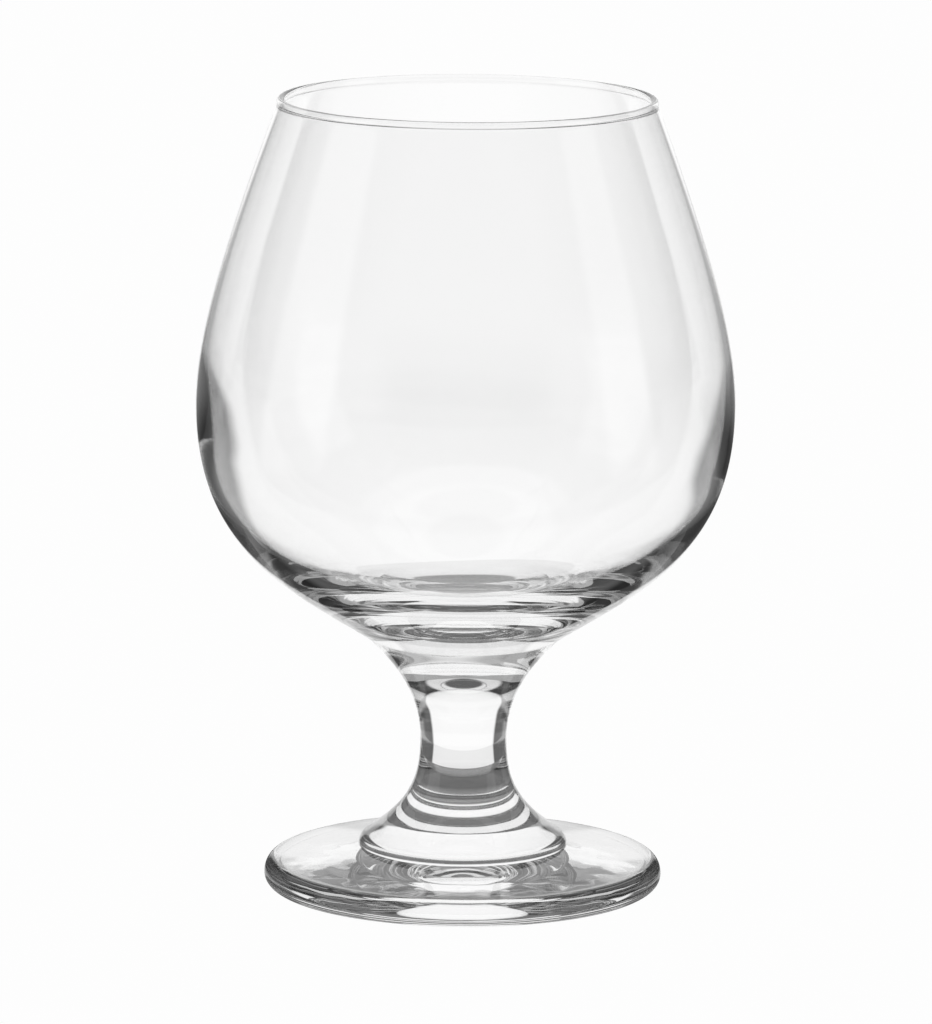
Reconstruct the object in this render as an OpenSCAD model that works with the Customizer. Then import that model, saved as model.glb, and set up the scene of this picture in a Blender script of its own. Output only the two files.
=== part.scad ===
// Brandy snifter: a blown bowl, a drawn stem and a pressed foot, fused hot.
// Axis +Z, table at z = 0, all lengths in millimetres, all angles in degrees.

/* [Bowl] */
// Height of the bowl from its weld on the stem up to the rim
bowl_h = 102.5; // [85:0.5:125]
// Outside diameter across the rim
rim_d = 71.2; // [60:0.2:84]
// Diameter of the fire-polished bead round the rim
bead_d = 1.5; // [1.2:0.05:2]
// How far the bead stands proud of the side outside
bead_proud = 0.3; // [0.2:0.05:0.5]
// Radius of the small hollow where the bead runs into the wall
bead_fillet = 1.6; // [0.8:0.1:2.4]
// Widest outside diameter of the bowl
belly_d = 101.2; // [92:0.2:112]
// Height of the widest place above the weld
belly_rise = 44.5; // [36:0.5:52]
// Lean of the side under the rim, from upright
side_lean = 20.3; // [14:0.1:24]
// Slope of the outside where it reaches the weld, from level
base_slope = 34.4; // [28:0.1:40]
// Thickness of the wall under the bead
rim_wall = 0.9; // [0.8:0.05:1.1]
// Thickness of the wall at the belly
belly_wall = 1.3; // [1.2:0.1:2.4]
// Depth of solid glass between the inside floor and the weld
floor_depth = 6.2; // [4.5:0.1:9]

/* [Stem] */
// Height of the stem between its two welds
stem_h = 39.8; // [30:0.2:60]
// Diameter of the weld under the bowl
neck_d = 35.7; // [30:0.1:40]
// Diameter of the waist, the thinnest place
waist_d = 16.3; // [13:0.1:20]
// Height of the waist above the foot's weld
waist_rise = 20.4; // [17:0.1:23]
// Slope of the stem where it leaves the bowl, from level
neck_slope = 48; // [42:0.5:60]
// Diameter of the step where the flare stands on the foot
step_d = 39.4; // [35:0.1:44]
// Radius of the rounded top of that step
step_round = 2.9; // [2:0.1:3.6]
// Slope of the flare where it meets the rounded step, from level
flare_slope = 33; // [26:0.5:40]

/* [Foot] */
// Widest diameter of the foot
foot_d = 75.2; // [66:0.2:86]
// Height of the foot from the table to the stem's weld
foot_h = 7.7; // [6.8:0.1:9.5]
// Height of the round edge, from the table to the start of the top
edge_h = 5.2; // [4.4:0.1:6]
// Height of the widest place of the edge, where the mould halves part
parting_h = 2.3; // [1.8:0.1:2.8]
// How far the edge draws in from its widest place to the top
edge_in = 2.3; // [1.6:0.1:3]
// How far the edge draws in below its widest place
sole_in = 2.2; // [1.6:0.1:3]
// Width of the flat ring that the glass stands on
sole_w = 1.6; // [1:0.1:2.4]
// Height of the shallow hollow under the foot at its centre
hollow_h = 2; // [1:0.1:3]

/* [Curve shares] */
// Reach of the curve below the rim, as a share of its height
side_share = 0.6; // [0.4:0.01:0.65]
// Reach of the curve above the belly, as a share of the same height
shoulder_share = 0.19; // [0.1:0.01:0.3]
// Reach of the curve below the belly, as a share of its height
belly_share = 0.63; // [0.5:0.01:0.75]
// Reach of the curve above the weld, as a share of its run
base_share = 0.51; // [0.35:0.01:0.6]
// Reach of the inside curve below the belly, as a share of its height
inside_share = 0.7; // [0.5:0.01:0.75]
// Reach of the inside floor from its centre, as a share of its radius
floor_share = 0.55; // [0.35:0.01:0.65]
// Reach of the stem's curve under the bowl, as a share of its height
neck_share = 0.185; // [0.1:0.005:0.3]
// Reach of the curve above the waist, as a share of the same height
above_waist_share = 0.54; // [0.4:0.01:0.65]
// Reach of the curve below the waist, as a share of its height
below_waist_share = 0.37; // [0.25:0.01:0.5]
// Reach of the flare's curve from the rounded step, as a share of its height
flare_share = 0.49; // [0.35:0.01:0.6]

/* [Smoothness] */
// Straight pieces in each long curve
curve_steps = 24; // [16:1:64]
// Straight pieces in each short rounding
round_steps = 8; // [6:1:24]

/* [Hidden] */
$fn = 96;
glass = "lightcyan";

foot_weld_z = foot_h;
bowl_weld_z = foot_h + stem_h;
rim_z = bowl_weld_z + bowl_h;

// Two unit directions that lie along and square to the wall under the rim
wall_down = [sin(side_lean), -cos(side_lean)];
wall_out = [cos(side_lean), sin(side_lean)];

bead_r = bead_d / 2;
bead_c = [rim_d / 2 - bead_r, rim_z - bead_r];
// Distances from the bead's centre to the outside and the inside of the wall
bead_to_outside = bead_r - bead_proud;
bead_to_inside = rim_wall - bead_to_outside;

// Centre of the hollow that touches the bead and a wall line at a given distance
function hollow_c(reach, side) =
    let (off = reach + bead_fillet)
    let (along = sqrt(pow(bead_r + bead_fillet, 2) - off * off))
    bead_c + side * off * wall_out + along * wall_down;

outside_hollow_c = hollow_c(bead_to_outside, 1);
inside_hollow_c = hollow_c(bead_to_inside, -1);
outside_top = outside_hollow_c - bead_fillet * wall_out;
inside_top = inside_hollow_c + bead_fillet * wall_out;

// Direction of one point seen from another
function bearing(from, to) = atan2(to[1] - from[1], to[0] - from[0]);

// Points of a circular arc, from one angle to another
function arc(centre, radius, start, end) =
    [for (i = [0 : round_steps])
        let (a = start + (end - start) * i / round_steps)
        centre + radius * [cos(a), sin(a)]];

// Points of a cubic curve pulled towards its two middle points, without its first point
function cubic(a, b, c, d) =
    [for (i = [1 : curve_steps])
        let (t = i / curve_steps, s = 1 - t)
        s * s * s * a + 3 * s * s * t * b + 3 * s * t * t * c + t * t * t * d];

// Outline of the bead with its two hollows, from outside to inside over the top
function bead_outline() =
    let (out = bearing(bead_c, outside_hollow_c), in = bearing(bead_c, inside_hollow_c))
    concat(
        arc(outside_hollow_c, bead_fillet, 180 + side_lean, 180 + out),
        arc(bead_c, bead_r, out, 360 + in),
        arc(inside_hollow_c, bead_fillet, 180 + in, side_lean));

// Reversed copy of a list of points
function reversed(points) = [for (i = [len(points) - 1 : -1 : 0]) points[i]];

belly = [belly_d / 2, bowl_weld_z + belly_rise];
belly_in = belly - [belly_wall, 0];
neck = [neck_d / 2, bowl_weld_z];
floor_z = bowl_weld_z + floor_depth;
waist = [waist_d / 2, foot_weld_z + waist_rise];

// Outside of the bowl from under the bead down to the weld
function bowl_outside() =
    let (upper = outside_top[1] - belly[1], lower = belly_rise)
    let (run = (belly_d - neck_d) / 2)
    concat(
        cubic(
            outside_top,
            outside_top + side_share * upper * wall_down,
            belly + [0, shoulder_share * upper],
            belly),
        cubic(
            belly,
            belly - [0, belly_share * lower],
            neck + base_share * run * [cos(base_slope), sin(base_slope)],
            neck));

// Inside of the bowl from under the bead down to the centre of its floor
function bowl_inside() =
    let (upper = inside_top[1] - belly[1], lower = belly[1] - floor_z)
    concat(
        cubic(
            inside_top,
            inside_top + side_share * upper * wall_down,
            belly_in + [0, shoulder_share * upper],
            belly_in),
        cubic(
            belly_in,
            belly_in - [0, inside_share * lower],
            [floor_share * belly_in[0], floor_z],
            [0, floor_z]));

module bowl() {
    color(glass, 0.4)
        rotate_extrude()
            polygon(concat(
                [[0, bowl_weld_z]],
                reversed(bowl_outside()),
                bead_outline(),
                bowl_inside()));
}

// Outside of the stem from the bowl's weld down to the foot's weld
function stem_outside() =
    let (upper = neck[1] - waist[1], lower = waist_rise)
    let (step_c = [step_d / 2 - step_round, foot_weld_z])
    let (step_top = step_c + step_round * [sin(flare_slope), cos(flare_slope)])
    concat(
        [neck],
        cubic(
            neck,
            neck - neck_share * upper * [cos(neck_slope), sin(neck_slope)],
            waist + [0, above_waist_share * upper],
            waist),
        cubic(
            waist,
            waist - [0, below_waist_share * lower],
            step_top + flare_share * lower * [-cos(flare_slope), sin(flare_slope)],
            step_top),
        arc(step_c, step_round, 90 - flare_slope, 0));

module stem() {
    color(glass, 0.4)
        rotate_extrude()
            polygon(concat(
                [[0, foot_weld_z], [0, bowl_weld_z]],
                stem_outside()));
}

// Quarter of an ellipse about a centre on the parting line, from one angle to another
function edge_arc(draw_in, rise, start, end) =
    [for (i = [0 : round_steps])
        let (a = start + (end - start) * i / round_steps)
        [foot_d / 2 - draw_in + draw_in * cos(a), parting_h + rise * sin(a)]];

// Shallow hollow under the foot, from the standing ring to the centre
function sole_hollow() =
    let (start = foot_d / 2 - sole_in - sole_w)
    [for (i = [0 : curve_steps])
        let (t = i / curve_steps)
        [start * (1 - t), hollow_h * (1 - pow(1 - t, 2))]];

module foot() {
    color(glass, 0.4)
        rotate_extrude()
            polygon(concat(
                [[0, foot_weld_z], [step_d / 2, foot_weld_z]],
                edge_arc(edge_in, edge_h - parting_h, 90, 0),
                edge_arc(sole_in, parting_h, 0, -90),
                sole_hollow()));
}

bowl();
stem();
foot();
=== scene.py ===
"""Brandy snifter of clear glass on a pale floor, in soft studio light."""
import math
from collections import namedtuple

import bpy
import numpy as np
from mathutils import Matrix, Vector


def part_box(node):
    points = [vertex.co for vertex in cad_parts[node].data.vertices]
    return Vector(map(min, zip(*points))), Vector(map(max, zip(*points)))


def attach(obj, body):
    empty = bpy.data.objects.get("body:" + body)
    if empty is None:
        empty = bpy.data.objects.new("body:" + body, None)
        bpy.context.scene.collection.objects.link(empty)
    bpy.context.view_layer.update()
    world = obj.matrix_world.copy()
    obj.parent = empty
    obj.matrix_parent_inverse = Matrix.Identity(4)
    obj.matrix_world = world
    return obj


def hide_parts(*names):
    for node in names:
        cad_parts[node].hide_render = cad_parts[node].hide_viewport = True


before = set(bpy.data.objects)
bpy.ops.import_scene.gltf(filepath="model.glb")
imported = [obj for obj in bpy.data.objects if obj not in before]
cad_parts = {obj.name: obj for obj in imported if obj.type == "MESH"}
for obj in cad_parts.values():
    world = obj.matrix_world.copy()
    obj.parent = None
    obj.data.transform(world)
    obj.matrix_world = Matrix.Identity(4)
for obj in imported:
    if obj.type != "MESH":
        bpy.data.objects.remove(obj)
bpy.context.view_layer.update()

MM = 0.001
DEG = math.pi / 180

# A ring closer to the axis than this, in millimetres, is one point; a shorter vector has no direction
ON_AXIS = 1e-9
NO_LENGTH = 1e-12

# Heights and radii that the frame gives, in millimetres
BOWL_LOW, BOWL_HIGH = (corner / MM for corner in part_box("bowl"))
STEM_LOW, STEM_HIGH = (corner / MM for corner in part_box("stem"))
_, FOOT_HIGH = (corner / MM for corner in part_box("foot"))
RIM_Z = BOWL_HIGH.z
NECK_Z = BOWL_LOW.z
STEP_Z = STEM_LOW.z
BELLY_R = BOWL_HIGH.x
STEP_R = STEM_HIGH.x
FOOT_R = FOOT_HIGH.x

# Bowl, in millimetres and degrees
RIM_R = 35.6
BEAD_R = 0.75
BEAD_PROUD = 0.3
BEAD_FILLET = 1.6
SIDE_LEAN = 20.3 * DEG
BASE_SLOPE = 34.4 * DEG
BELLY_RISE = 44.5
BELLY_Z = NECK_Z + BELLY_RISE
RIM_WALL = 0.9
BELLY_WALL = 1.3
FLOOR_DEPTH = 6.2
NECK_R = 17.85
SIDE_SHARE = 0.6
SHOULDER_SHARE = 0.19
BELLY_SHARE = 0.63
BASE_SHARE = 0.51
INSIDE_SHARE = 0.70
FLOOR_SHARE = 0.55

# Uneven blown wall: two places where the inside swells inwards, in millimetres
Swell = namedtuple("Swell", "turn whole gone start full shrink end depth")
SWELLS = (
    Swell(180 * DEG, 60 * DEG, 120 * DEG, start=66.0, full=87.0, shrink=86.0, end=103.0, depth=0.85),
    Swell(0 * DEG, 50 * DEG, 110 * DEG, start=72.0, full=82.0, shrink=84.0, end=102.0, depth=0.4),
)

# Stem, in millimetres and degrees
WAIST_R = 8.15
WAIST_RISE = 20.4
WAIST_Z = STEP_Z + WAIST_RISE
NECK_SLOPE = 48 * DEG
STEP_ROUND = 2.9
FLARE_SLOPE = 33 * DEG
NECK_SHARE = 0.185
ABOVE_WAIST_SHARE = 0.54
BELOW_WAIST_SHARE = 0.37
FLARE_SHARE = 0.49

# Foot, in millimetres
EDGE_H = 5.2
PARTING_H = 2.3
EDGE_IN = 2.3
SOLE_IN = 2.2
SOLE_W = 1.6
HOLLOW_H = 2.0

# Rings along each long curve, each flat face, each small rounding and each weld, and points round a ring
LONG_RINGS = 56
FLAT_RINGS = 24
SHORT_RINGS = 24
DISC_RINGS = 3
AROUND = 360

# Camera: the distance, elevation, aim, roll and focal length that fit the photograph
VIEW_DISTANCE = 1400 * MM
VIEW_ELEVATION = 10.58 * DEG
AIM_Z = 71.5 * MM
AIM_X = 0.2 * MM
VIEW_ROLL = 0.4 * DEG
SENSOR_MM = 36
FOCAL_LENGTH = 261.65
CLIP_START = 0.05
CLIP_END = 50

# Floor, and the white that the camera sees
FLOOR_GAP = 0.3 * MM
FLOOR_HALF = 6.0
SEEN_WHITE = 0.985

# Below, a fade is (start, end) or (start, end, first level, last level)
# A window is (middle, half width, softness) or (middle, half width, softness, level)

# Backdrop close behind the glass, in metres: a white middle with dim sides, which only the glass sees
BACK_Y = 0.095
BACK_HALF = 0.24
BACK_TOP = 0.34
WHITE_HALF = 0.058
WHITE_GROWS = (0.050, 0.090, 0, 0.014)
WHITE_TOP = (0.25, 0.165)
WHITE_SOFT = 0.005
WHITE_LEVEL = 1.0
LOW_FADE = (0.080, 0.160, 0.10, 0.40)
GAP_LEVEL = 0.09
HIGH_LEVEL = 0.42
GAP_FADES = ((0.038, 0.052), (0.062, 0.085))

# Studio by direction; turns are measured from straight behind the glass, and right is positive
AMBIENT = 0.04
SOFT_BOXES = (
    (-104 * DEG, 17 * DEG, 3 * DEG, 0.48),
    (107 * DEG, 12 * DEG, 3 * DEG, 0.42),
)
LOW_BAND = (120 * DEG, 24 * DEG, 8 * DEG)
LOW_BAND_FADE = (20 * DEG, 12 * DEG, 0.0, 0.22)
BOX_TOP = (34 * DEG, 28 * DEG)
CEILING_FADE = (56 * DEG, 62 * DEG)
CEILING_LEVEL = 0.80
OVERHEAD = (73 * DEG, 77 * DEG)
OVERHEAD_LEVEL = 0.12

# Floor by place, painted light, shadow and reflection for the glass: distances from the axis in metres, and
# turns as above
# Painted shadow under the foot, with painted light of lobes and a ring round it
PAINTED_SHADOW_FADE = (0.017, 0.023)
PAINTED_SHADOW_LEVEL = 0.15
LOBE_TURN = (63 * DEG, 20 * DEG, 6 * DEG)
LOBE_LEVELS = (0.20, 0.70)
RING_FADE = (0.047, 0.042)
RING_START = (0.031, 0.037)
RING_TURN = (130 * DEG, 155 * DEG)
RING_LEVEL = 0.90
SIDE_FADE = (0.11, 0.58, 0.62, 0.26)
FRONT_FADE = (0.12, 0.60, 0.80, 0.40)
FRONT_TURN = (100 * DEG, 140 * DEG)
BEHIND_TURN = (75 * DEG, 60 * DEG)
BEHIND_FADE = (0.100, 0.135, 0.09, 0.38)
IMAGE_HALF = 31 * DEG
IMAGE_SOFT = 1.5 * DEG
IMAGE_LEVEL = 0.87
BOX_FOOT = (0.22, 0.34)

# Glass: its waves lie below a top and within a reach from the axis, in metres; its painted shade lies
# between two turns of a ray
GLASS_IOR = 1.52
BOUNCES = 32
# Painted shade: the colour the glass darkens to after many turns of a ray
BOUNCE_SHADE_COLOUR = 0.02
WAVE_INPUTS = ("Scale", "Stretch", "Height", "Top", "Reach")
Glass = namedtuple("Glass", "dims scale stretch height top reach")
BOWL_GLASS = Glass((14, 22), scale=110, stretch=1.0, height=0.02 * MM, top=70 * MM, reach=1.0)
STEM_GLASS = Glass((14, 22), scale=90, stretch=0.6, height=0.003 * MM, top=1.0, reach=1.0)
FOOT_GLASS = Glass((2, 9), scale=150, stretch=1.0, height=0.05 * MM, top=1.0, reach=35 * MM)
WAVE_SOFT = 4 * MM
WAVE_DETAIL = 1.0
WAVE_ROUGHNESS = 0.4


def towards(angle):
    """Unit vector (cosine, sine) of an angle in the (radius, height) plane."""
    return np.array([math.cos(angle), math.sin(angle)])


def cubic(a, b, c, d):
    """Cubic Bezier curve: s^3 a + 3 s^2 t b + 3 s t^2 c + t^3 d, with s = 1 - t, as one array."""
    t = np.linspace(0, 1, LONG_RINGS)[:, None]
    s = 1 - t
    a, b, c, d = (np.asarray(point, float) for point in (a, b, c, d))
    return s**3 * a + 3 * s**2 * t * b + 3 * s * t**2 * c + t**3 * d


def arc(centre, radii, start, end, count=SHORT_RINGS):
    """Arc of an ellipse: centre + (radius across * cosine, radius up * sine) from one angle to another."""
    angle = np.linspace(start, end, count)
    return np.asarray(centre) + np.stack([radii[0] * np.cos(angle), radii[1] * np.sin(angle)], -1)


def joined(*runs):
    """One outline from runs that each start where the last one ends, without the doubled points."""
    return np.vstack([runs[0]] + [run[1:] for run in runs[1:]])


def bead_and_hollows():
    """Bead of the rim with the two small hollows where it meets the wall.

    Each hollow is an arc that touches the bead's circle and the wall's line: its centre lies a
    bead radius plus a hollow radius from the bead's centre, and a hollow radius from the line.
    """
    down = towards(SIDE_LEAN - math.pi / 2)
    out = towards(SIDE_LEAN)
    centre = np.array([RIM_R - BEAD_R, RIM_Z - BEAD_R])

    def hollow(reach, side):
        off = reach + BEAD_FILLET
        along = math.sqrt((BEAD_R + BEAD_FILLET) ** 2 - off**2)
        return centre + side * off * out + along * down

    outer = hollow(BEAD_R - BEAD_PROUD, 1)
    inner = hollow(RIM_WALL - (BEAD_R - BEAD_PROUD), -1)
    to_outer = math.atan2(*(outer - centre)[::-1])
    to_inner = math.atan2(*(inner - centre)[::-1])
    fillet = (BEAD_FILLET, BEAD_FILLET)
    outline = joined(
        arc(outer, fillet, math.pi + SIDE_LEAN, math.pi + to_outer, SHORT_RINGS // 2),
        arc(centre, (BEAD_R, BEAD_R), to_outer, 2 * math.pi + to_inner),
        arc(inner, fillet, math.pi + to_inner, SIDE_LEAN, SHORT_RINGS // 2),
    )
    return outline, down


def bowl_outline():
    """Bowl from its weld up the outside, over the bead and down the inside to the floor's centre."""
    bead, down = bead_and_hollows()
    outside_top, inside_top = bead[0], bead[-1]
    belly = np.array([BELLY_R, BELLY_Z])
    belly_in = belly - (BELLY_WALL, 0)
    neck = np.array([NECK_R, NECK_Z])
    floor_z = NECK_Z + FLOOR_DEPTH
    side = outside_top[1] - BELLY_Z
    side_pull = SIDE_SHARE * side * down
    shoulder_pull = (0, SHOULDER_SHARE * side)
    belly_pull = (0, BELLY_SHARE * BELLY_RISE)
    inside_pull = (0, INSIDE_SHARE * (BELLY_Z - floor_z))
    base_pull = BASE_SHARE * (BELLY_R - NECK_R) * towards(BASE_SLOPE)
    floor_pull = (FLOOR_SHARE * belly_in[0], 0)
    floor_centre = np.array([0, floor_z])
    return joined(
        cubic(neck, neck + base_pull, belly - belly_pull, belly),
        cubic(belly, belly + shoulder_pull, outside_top + side_pull, outside_top),
        bead,
        cubic(inside_top, inside_top + side_pull, belly_in + shoulder_pull, belly_in),
        cubic(belly_in, belly_in - inside_pull, floor_centre + floor_pull, floor_centre),
    )


def stem_outline():
    """Stem from the foot's weld up the rounded step, the flare, the waist and out to the bowl's weld."""
    neck = np.array([NECK_R, NECK_Z])
    waist = np.array([WAIST_R, WAIST_Z])
    above = NECK_Z - WAIST_Z
    step = arc((STEP_R - STEP_ROUND, STEP_Z), (STEP_ROUND, STEP_ROUND), 0, math.pi / 2 - FLARE_SLOPE)
    flare_pull = FLARE_SHARE * WAIST_RISE * towards(math.pi - FLARE_SLOPE)
    neck_pull = NECK_SHARE * above * towards(NECK_SLOPE)
    return joined(
        step,
        cubic(step[-1], step[-1] + flare_pull, waist - (0, BELOW_WAIST_SHARE * WAIST_RISE), waist),
        cubic(waist, waist + (0, ABOVE_WAIST_SHARE * above), neck - neck_pull, neck),
    )


def foot_outline():
    """Foot from its centre underneath, over the hollow, standing ring and round edge, to the weld."""
    ring = FOOT_R - SOLE_IN
    reach = np.linspace(0, ring - SOLE_W, FLAT_RINGS)
    hollow = np.stack([reach, HOLLOW_H * (1 - (reach / reach[-1]) ** 2)], -1)
    sole = np.array([[ring - SOLE_W, 0], [ring, 0]])
    lower = arc((ring, PARTING_H), (SOLE_IN, PARTING_H), -math.pi / 2, 0)
    upper = arc((FOOT_R - EDGE_IN, PARTING_H), (EDGE_IN, EDGE_H - PARTING_H), 0, math.pi / 2)
    t = np.linspace(0, 1, FLAT_RINGS)[:, None]
    top = (1 - t) * upper[-1] + t * (STEP_R, STEP_Z)
    return hollow, sole, joined(lower, upper, top)


def disc(radius, height, outwards):
    """Flat weld face at one height, as rings from the axis to its edge, or the other way round."""
    reach = np.linspace(0, radius, DISC_RINGS)
    rings = np.stack([reach, np.full(DISC_RINGS, height)], -1)
    return rings if outwards else rings[::-1]


def swell(outline, angle):
    """How far the inside stands inwards of its outline, for every ring and every angle.

    To either side of its turn a swell is whole up to one angle and gone from a second one. Over
    height it grows between start and full, and shrinks between shrink and end. These are three
    shares s between 0 and 1, and each multiplies the depth by s^2 (3 - 2 s). Only the inside
    swells, which is the rings after the highest one.
    """
    inside = (np.arange(len(outline)) > outline[:, 1].argmax())[:, None]
    height = outline[:, 1:]
    total = np.zeros((len(outline), len(angle)))
    for place in SWELLS:
        off = np.abs((angle - place.turn + math.pi) % (2 * math.pi) - math.pi)
        depth = place.depth
        for share in (
            (place.gone - off) / (place.gone - place.whole),
            (height - place.start) / (place.full - place.start),
            (place.end - height) / (place.end - place.shrink),
        ):
            share = np.clip(share, 0, 1)
            depth = depth * share**2 * (3 - 2 * share)
        total += depth
    return total * inside


def ring_grid(outline, uneven):
    """Outline turned about Z: x = r cos(a), y = r sin(a), z = z, for every ring and every angle."""
    angle = np.linspace(0, 2 * math.pi, AROUND, endpoint=False)
    radius, height = outline[:, :1], outline[:, 1:]
    if uneven:
        radius = radius - swell(outline, angle)
    return np.stack([radius * np.cos(angle), radius * np.sin(angle), np.repeat(height, AROUND, 1)], -1) * MM


def grid_normals(grid):
    """Unit normals of a grid of rings: the step round the ring crossed with the step along the outline.

    A ring on the axis has no step round it and takes the mean of the ring next to it.
    """
    step = np.linalg.norm(np.diff(grid[:, 0], axis=0), axis=1)
    along = np.gradient(grid, np.concatenate([[0], np.cumsum(step)]), axis=0)
    round_ring = np.roll(grid, -1, 1) - np.roll(grid, 1, 1)
    normal = np.cross(round_ring, along)
    length = np.linalg.norm(normal, axis=2, keepdims=True)
    normal = normal / np.maximum(length, NO_LENGTH)
    for row in np.flatnonzero((length[:, :, 0] < NO_LENGTH).all(1)):
        near = normal[1 if row == 0 else row - 1].mean(0)
        normal[row] = near / np.linalg.norm(near)
    return normal


def turned_mesh(name, sections, uneven=False):
    """Closed mesh of revolution from sections (outline, material index) that share their end rings.

    Rings become a grid of four-sided faces, a ring on the axis becomes one point with a fan, and
    every corner carries the smooth normal of its own section, so section ends stay crisp.
    """
    rows = joined(*[outline for outline, _ in sections])
    grid = ring_grid(rows, uneven)
    on_axis = rows[:, 0] < ON_AXIS
    counts = np.where(on_axis, 1, AROUND)
    starts = np.concatenate([[0], np.cumsum(counts)[:-1]])
    column = np.arange(AROUND)
    index = starts[:, None] + np.where(on_axis[:, None], 0, column)
    points = np.concatenate([ring[:1] if axis else ring for ring, axis in zip(grid, on_axis)])

    corners, sizes, normals, slots = [], [], [], []
    first = 0
    following = np.roll(column, -1)
    for outline, slot in sections:
        last = first + len(outline) - 1
        normal = grid_normals(grid[first : last + 1])
        for band in range(first, last):
            low, high = index[band], index[band + 1]
            low_n, high_n = normal[band - first], normal[band - first + 1]
            quad = np.stack([low, low[following], high[following], high], -1)
            quad_n = np.stack([low_n, low_n[following], high_n[following], high_n], 1)
            keep = [0, 2, 3] if on_axis[band] else [0, 1, 2] if on_axis[band + 1] else [0, 1, 2, 3]
            corners.append(quad[:, keep].ravel())
            normals.append(quad_n[:, keep].reshape(-1, 3))
            sizes.append(np.full(AROUND, len(keep)))
            slots.append(np.full(AROUND, slot))
        first = last
    corners, sizes, slots = (np.concatenate(part) for part in (corners, sizes, slots))

    mesh = bpy.data.meshes.new(name)
    mesh.vertices.add(len(points))
    mesh.vertices.foreach_set("co", points.ravel())
    mesh.loops.add(len(corners))
    mesh.loops.foreach_set("vertex_index", corners.astype(np.int32))
    mesh.polygons.add(len(sizes))
    mesh.polygons.foreach_set("loop_start", np.concatenate([[0], np.cumsum(sizes)[:-1]]).astype(np.int32))
    mesh.polygons.foreach_set("material_index", slots.astype(np.int32))
    mesh.update(calc_edges=True)
    mesh.polygons.foreach_set("use_smooth", np.ones(len(sizes), bool))
    mesh.normals_split_custom_set(np.concatenate(normals))
    mesh.validate()
    piece = bpy.data.objects.new(name, mesh)
    bpy.context.scene.collection.objects.link(piece)
    return piece


def ripple_group():
    """Node group: the waviness of hot-worked glass below a height and within a reach of the axis."""
    group = bpy.data.node_groups.new("glass_ripple", "ShaderNodeTree")
    for label in WAVE_INPUTS:
        group.interface.new_socket(label, in_out="INPUT", socket_type="NodeSocketFloat")
    group.interface.new_socket("Normal", in_out="OUTPUT", socket_type="NodeSocketVector")
    nodes, links = group.nodes, group.links
    entry = nodes.new("NodeGroupInput")
    leave = nodes.new("NodeGroupOutput")
    coordinate = nodes.new("ShaderNodeTexCoord")
    flatten = nodes.new("ShaderNodeVectorMath")
    flatten.operation = "MULTIPLY"
    squash = nodes.new("ShaderNodeCombineXYZ")
    squash.inputs["X"].default_value = 1
    squash.inputs["Y"].default_value = 1
    links.new(entry.outputs["Stretch"], squash.inputs["Z"])
    links.new(coordinate.outputs["Object"], flatten.inputs[0])
    links.new(squash.outputs["Vector"], flatten.inputs[1])
    waves = nodes.new("ShaderNodeTexNoise")
    waves.inputs["Detail"].default_value = WAVE_DETAIL
    waves.inputs["Roughness"].default_value = WAVE_ROUGHNESS
    links.new(flatten.outputs["Vector"], waves.inputs["Vector"])
    links.new(entry.outputs["Scale"], waves.inputs["Scale"])
    bump = nodes.new("ShaderNodeBump")
    bump.inputs["Strength"].default_value = 1.0
    links.new(waves.outputs["Fac"], bump.inputs["Height"])
    split = nodes.new("ShaderNodeSeparateXYZ")
    links.new(coordinate.outputs["Object"], split.inputs["Vector"])
    x, y, z = (split.outputs[axis] for axis in "XYZ")
    square = maths(group, "ADD", maths(group, "MULTIPLY", x, x), maths(group, "MULTIPLY", y, y))
    below = maths(group, "SUBTRACT", entry.outputs["Top"], z)
    within = maths(group, "SUBTRACT", entry.outputs["Reach"], maths(group, "SQRT", square))
    share = maths(group, "MULTIPLY", fade(group, below, 0, WAVE_SOFT), fade(group, within, 0, WAVE_SOFT))
    links.new(maths(group, "MULTIPLY", share, entry.outputs["Height"]), bump.inputs["Distance"])
    links.new(bump.outputs["Normal"], leave.inputs["Normal"])
    return group


def glass_material(name, ripple, glass):
    """Clear polished glass with its waves.

    Its colour goes from clear to dark between two numbers of turns that a ray has made:
    painted shade, which darkens light that is thrown to and fro inside the glass.
    """
    material = bpy.data.materials.new(name)
    material.use_nodes = True
    nodes, links = material.node_tree.nodes, material.node_tree.links
    shader = nodes["Principled BSDF"]
    path = nodes.new("ShaderNodeLightPath")
    # Painted shade: the glass colour darkens between two numbers of turns that a ray has made
    bounce_shade = fade(material.node_tree, path.outputs["Ray Depth"], *glass.dims, 1.0, BOUNCE_SHADE_COLOUR)
    links.new(bounce_shade, shader.inputs["Base Color"])
    shader.inputs["Roughness"].default_value = 0
    shader.inputs["IOR"].default_value = GLASS_IOR
    shader.inputs["Transmission Weight"].default_value = 1
    waves = nodes.new("ShaderNodeGroup")
    waves.node_tree = ripple
    for label in WAVE_INPUTS:
        waves.inputs[label].default_value = getattr(glass, label.lower())
    links.new(waves.outputs["Normal"], shader.inputs["Normal"])
    return material


def weld_material():
    """The fused joint between two gathers of one glass: light crosses it unbent."""
    material = bpy.data.materials.new("weld")
    material.use_nodes = True
    nodes, links = material.node_tree.nodes, material.node_tree.links
    nodes.remove(nodes["Principled BSDF"])
    clear = nodes.new("ShaderNodeBsdfTransparent")
    links.new(clear.outputs["BSDF"], nodes["Material Output"].inputs["Surface"])
    return material


def dress(piece, node, glass, weld):
    """Gives a piece its two materials and ties it to its place in the frame."""
    piece.data.materials.append(glass)
    piece.data.materials.append(weld)
    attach(piece, "root")
    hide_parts(node)


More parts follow.
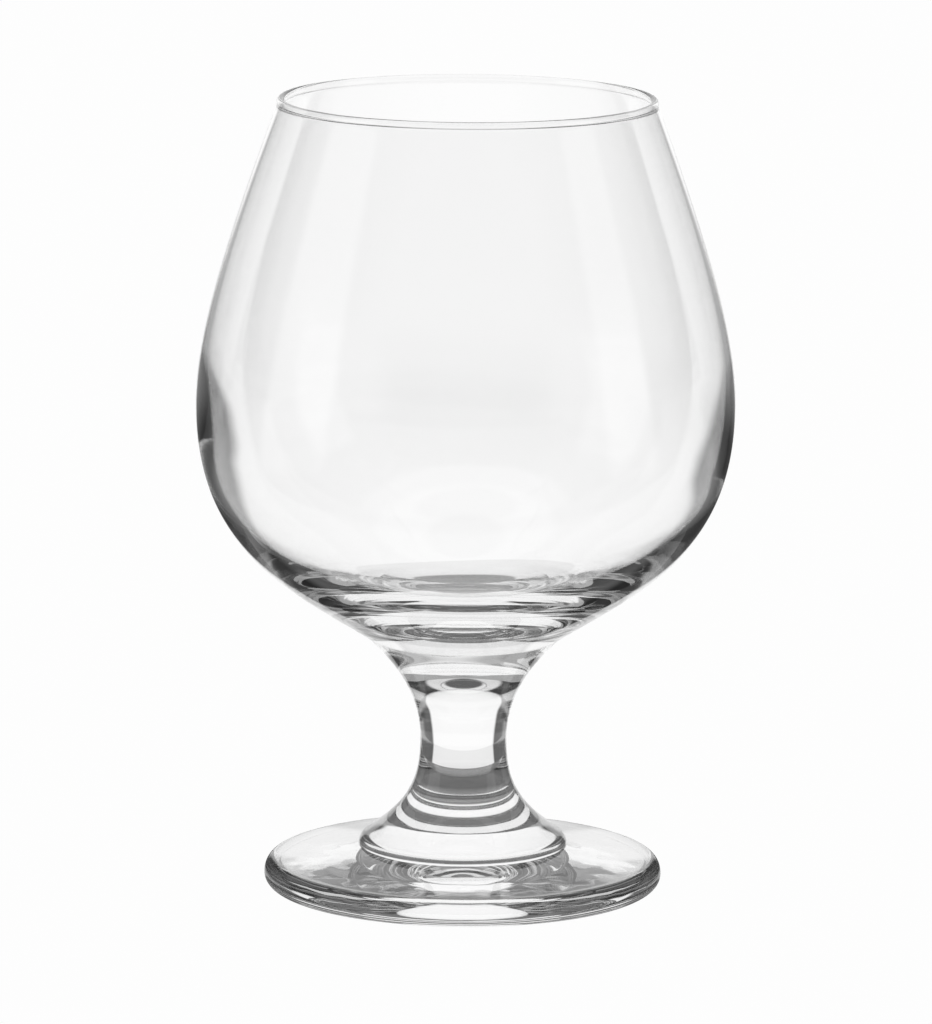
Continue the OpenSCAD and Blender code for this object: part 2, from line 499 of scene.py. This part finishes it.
def make_snifter():
    """The three gathers of glass: bowl, stem and foot."""
    ripple = ripple_group()
    weld = weld_material()
    bowl = turned_mesh("snifter_bowl", [(disc(NECK_R, NECK_Z, True), 1), (bowl_outline(), 0)], True)
    dress(bowl, "bowl", glass_material("bowl_glass", ripple, BOWL_GLASS), weld)
    stem = turned_mesh(
        "snifter_stem",
        [(disc(STEP_R, STEP_Z, True), 1), (stem_outline(), 0), (disc(NECK_R, NECK_Z, False), 1)],
    )
    dress(stem, "stem", glass_material("stem_glass", ripple, STEM_GLASS), weld)
    hollow, sole, upper = foot_outline()
    foot = turned_mesh(
        "snifter_foot",
        [(hollow, 0), (sole, 0), (upper, 0), (disc(STEP_R, STEP_Z, False), 1)],
    )
    dress(foot, "foot", glass_material("foot_glass", ripple, FOOT_GLASS), weld)


def make_camera():
    """Camera on the -Y side, looking down at the glass as the photograph does."""
    data = bpy.data.cameras.new("camera")
    data.sensor_width = SENSOR_MM
    data.lens = FOCAL_LENGTH
    data.clip_start = CLIP_START
    data.clip_end = CLIP_END
    camera = bpy.data.objects.new("camera", data)
    bpy.context.scene.collection.objects.link(camera)
    back = Vector((0, -math.cos(VIEW_ELEVATION), math.sin(VIEW_ELEVATION)))
    turn = (-back).to_track_quat("-Z", "Y").to_matrix().to_4x4()
    place = Vector((AIM_X, 0, AIM_Z)) + back * VIEW_DISTANCE
    camera.matrix_world = Matrix.Translation(place) @ turn @ Matrix.Rotation(VIEW_ROLL, 4, "Z")
    bpy.context.scene.camera = camera


def maths(tree, operation, *values):
    """Math node on numbers or sockets; gives its output socket."""
    node = tree.nodes.new("ShaderNodeMath")
    node.operation = operation
    for socket, value in zip(node.inputs, values):
        if isinstance(value, (int, float)):
            socket.default_value = value
        else:
            tree.links.new(value, socket)
    return node.outputs["Value"]


def fade(tree, value, start, end, low=0.0, high=1.0):
    """Smooth change from low where value is start to high where it is end."""
    node = tree.nodes.new("ShaderNodeMapRange")
    node.interpolation_type = "SMOOTHSTEP"
    node.inputs["From Min"].default_value = start
    node.inputs["From Max"].default_value = end
    node.inputs["To Min"].default_value = low
    node.inputs["To Max"].default_value = high
    tree.links.new(value, node.inputs["Value"])
    return node.outputs["Result"]


def window(tree, value, centre, half, soft, level=1.0):
    """Level where value is within half of centre, nought outside, with an edge twice soft wide."""
    off = maths(tree, "ABSOLUTE", maths(tree, "SUBTRACT", value, centre))
    return fade(tree, off, half + soft, half - soft, 0.0, level)


def mixed(tree, share, low, high):
    """Low where share is 0, high where it is 1."""
    gain = maths(tree, "SUBTRACT", high, low)
    return maths(tree, "MULTIPLY_ADD", gain, share, low)


def light_group(name):
    """Empty node group from a place or direction to one brightness, with its split coordinates."""
    tree = bpy.data.node_groups.new(name, "ShaderNodeTree")
    tree.interface.new_socket("Vector", in_out="INPUT", socket_type="NodeSocketVector")
    tree.interface.new_socket("Level", in_out="OUTPUT", socket_type="NodeSocketFloat")
    split = tree.nodes.new("ShaderNodeSeparateXYZ")
    tree.links.new(tree.nodes.new("NodeGroupInput").outputs["Vector"], split.inputs["Vector"])
    x, y, z = (split.outputs[axis] for axis in "XYZ")
    return tree, x, y, z


def close_group(tree, level):
    """Sends the finished brightness out of the group and gives the group."""
    tree.links.new(level, tree.nodes.new("NodeGroupOutput").inputs["Level"])
    return tree


def box_glow(tree, turn):
    """Brightness of the two soft boxes by turn alone; they stand on the table."""
    return maths(tree, "ADD", *[window(tree, turn, *box) for box in SOFT_BOXES])


def studio_group():
    """Brightness by direction: faint all round, two soft boxes, a low band, a ceiling, dark overhead."""
    tree, x, y, z = light_group("studio_light")
    turn = maths(tree, "ARCTAN2", x, y)
    rise = maths(tree, "ARCSINE", z)
    boxes = maths(tree, "MULTIPLY", box_glow(tree, turn), fade(tree, rise, *BOX_TOP))
    band = window(tree, maths(tree, "ABSOLUTE", turn), *LOW_BAND)
    band = maths(tree, "MULTIPLY", band, fade(tree, rise, *LOW_BAND_FADE))
    ceiling = fade(tree, rise, *CEILING_FADE, AMBIENT, CEILING_LEVEL)
    ceiling = mixed(tree, fade(tree, rise, *OVERHEAD), ceiling, OVERHEAD_LEVEL)
    return close_group(tree, maths(tree, "ADD", maths(tree, "ADD", boxes, band), ceiling))


def floor_group():
    """Brightness by place on the floor: painted light, shade and reflection that only the glass sees.

    Under the foot a painted shadow, but for two lobes and a ring of painted light in front. Beyond that
    painted light in front and at the sides; behind, a painted reflection of the backdrop, with painted
    shade beside it near the foot.
    """
    tree, x, y, _ = light_group("floor_light")
    square = maths(tree, "ADD", maths(tree, "MULTIPLY", x, x), maths(tree, "MULTIPLY", y, y))
    reach = maths(tree, "SQRT", square)
    signed_turn = maths(tree, "ARCTAN2", x, y)
    turn = maths(tree, "ABSOLUTE", signed_turn)
    front = fade(tree, turn, *FRONT_TURN)
    level = mixed(tree, front, fade(tree, reach, *SIDE_FADE), fade(tree, reach, *FRONT_FADE))
    # Painted pools of light from the soft boxes on the floor
    boxes = maths(tree, "MULTIPLY", box_glow(tree, signed_turn), fade(tree, reach, *BOX_FOOT))
    level = maths(tree, "ADD", level, boxes)
    # Painted reflection of the backdrop on the floor behind the glass
    image = window(tree, turn, 0, IMAGE_HALF, IMAGE_SOFT)
    behind = mixed(tree, image, fade(tree, reach, *BEHIND_FADE), IMAGE_LEVEL)
    level = mixed(tree, fade(tree, turn, *BEHIND_TURN), level, behind)
    # Painted light of two lobes and a ring close to the foot
    near = fade(tree, window(tree, turn, *LOBE_TURN), 0, 1, *LOBE_LEVELS)
    ring = maths(tree, "MULTIPLY", fade(tree, reach, *RING_START), fade(tree, turn, *RING_TURN))
    near = mixed(tree, ring, near, RING_LEVEL)
    # Painted shadow under the foot: dim close to the axis
    near = mixed(tree, fade(tree, reach, *PAINTED_SHADOW_FADE), PAINTED_SHADOW_LEVEL, near)
    return close_group(tree, mixed(tree, fade(tree, reach, *RING_FADE), level, near))


def backdrop_group():
    """Brightness by place: a white middle; beside it dim low down, dark above that, dim again higher up."""
    tree, x, _, z = light_group("backdrop_light")
    across = maths(tree, "ABSOLUTE", x)
    lower, upper = GAP_FADES
    side = mixed(tree, fade(tree, z, *lower), fade(tree, across, *LOW_FADE), GAP_LEVEL)
    side = mixed(tree, fade(tree, z, *upper), side, HIGH_LEVEL)
    narrowed = maths(tree, "SUBTRACT", across, fade(tree, z, *WHITE_GROWS))
    white = fade(tree, narrowed, WHITE_HALF + WHITE_SOFT, WHITE_HALF - WHITE_SOFT)
    top = fade(tree, z, *WHITE_TOP)
    return close_group(tree, mixed(tree, maths(tree, "MULTIPLY", white, top), side, WHITE_LEVEL))


def seen_or_lit(tree, group, vector):
    """Strength that is plain white to the camera and the group's brightness to all other rays."""
    node = tree.nodes.new("ShaderNodeGroup")
    node.node_tree = group
    tree.links.new(vector, node.inputs["Vector"])
    path = tree.nodes.new("ShaderNodeLightPath")
    return mixed(tree, path.outputs["Is Camera Ray"], node.outputs["Level"], SEEN_WHITE)


def make_floor():
    """Plain floor: evenly white to the camera, and to the glass a glow of painted light, shade and
    reflection.
    """
    mesh = bpy.data.meshes.new("floor")
    corners = [(-1, -1), (1, -1), (1, 1), (-1, 1)]
    mesh.from_pydata([(x * FLOOR_HALF, y * FLOOR_HALF, -FLOOR_GAP) for x, y in corners], [], [range(4)])
    floor = bpy.data.objects.new("floor", mesh)
    bpy.context.scene.collection.objects.link(floor)
    material = bpy.data.materials.new("floor_white")
    material.use_nodes = True
    tree = material.node_tree
    tree.nodes.remove(tree.nodes["Principled BSDF"])
    glow = tree.nodes.new("ShaderNodeEmission")
    place = tree.nodes.new("ShaderNodeTexCoord")
    tree.links.new(seen_or_lit(tree, floor_group(), place.outputs["Object"]), glow.inputs["Strength"])
    tree.links.new(glow.outputs["Emission"], tree.nodes["Material Output"].inputs["Surface"])
    mesh.materials.append(material)


def make_backdrop():
    """Backdrop that only the glass sees, and only from the side that faces it."""
    mesh = bpy.data.meshes.new("backdrop")
    corners = [(-1, 0), (1, 0), (1, 1), (-1, 1)]
    mesh.from_pydata([(x * BACK_HALF, BACK_Y, z * BACK_TOP) for x, z in corners], [], [range(4)])
    backdrop = bpy.data.objects.new("backdrop", mesh)
    bpy.context.scene.collection.objects.link(backdrop)
    material = bpy.data.materials.new("backdrop_white")
    material.use_nodes = True
    tree = material.node_tree
    tree.nodes.remove(tree.nodes["Principled BSDF"])
    pattern = tree.nodes.new("ShaderNodeGroup")
    pattern.node_tree = backdrop_group()
    place = tree.nodes.new("ShaderNodeTexCoord")
    tree.links.new(place.outputs["Object"], pattern.inputs["Vector"])
    glow = tree.nodes.new("ShaderNodeEmission")
    tree.links.new(pattern.outputs["Level"], glow.inputs["Strength"])
    clear = tree.nodes.new("ShaderNodeBsdfTransparent")
    choose = tree.nodes.new("ShaderNodeMixShader")
    path = tree.nodes.new("ShaderNodeLightPath")
    side = tree.nodes.new("ShaderNodeNewGeometry")
    hidden = maths(tree, "MAXIMUM", path.outputs["Is Camera Ray"], side.outputs["Backfacing"])
    tree.links.new(hidden, choose.inputs["Fac"])
    tree.links.new(glow.outputs["Emission"], choose.inputs[1])
    tree.links.new(clear.outputs["BSDF"], choose.inputs[2])
    tree.links.new(choose.outputs["Shader"], tree.nodes["Material Output"].inputs["Surface"])
    mesh.materials.append(material)


def make_world():
    """Plain white to the camera, and soft studio light all round to the glass."""
    world = bpy.data.worlds.new("studio")
    bpy.context.scene.world = world
    world.use_nodes = True
    tree = world.node_tree
    direction = tree.nodes.new("ShaderNodeTexCoord")
    level = seen_or_lit(tree, studio_group(), direction.outputs["Generated"])
    background = tree.nodes["Background"]
    background.inputs["Color"].default_value = (1, 1, 1, 1)
    tree.links.new(level, background.inputs["Strength"])


make_camera()
make_floor()
make_backdrop()
make_world()
make_snifter()
bpy.context.scene.view_settings.view_transform = "Standard"
for limit in ("max_bounces", "transmission_bounces", "glossy_bounces", "transparent_max_bounces"):
    setattr(bpy.context.scene.cycles, limit, BOUNCES)
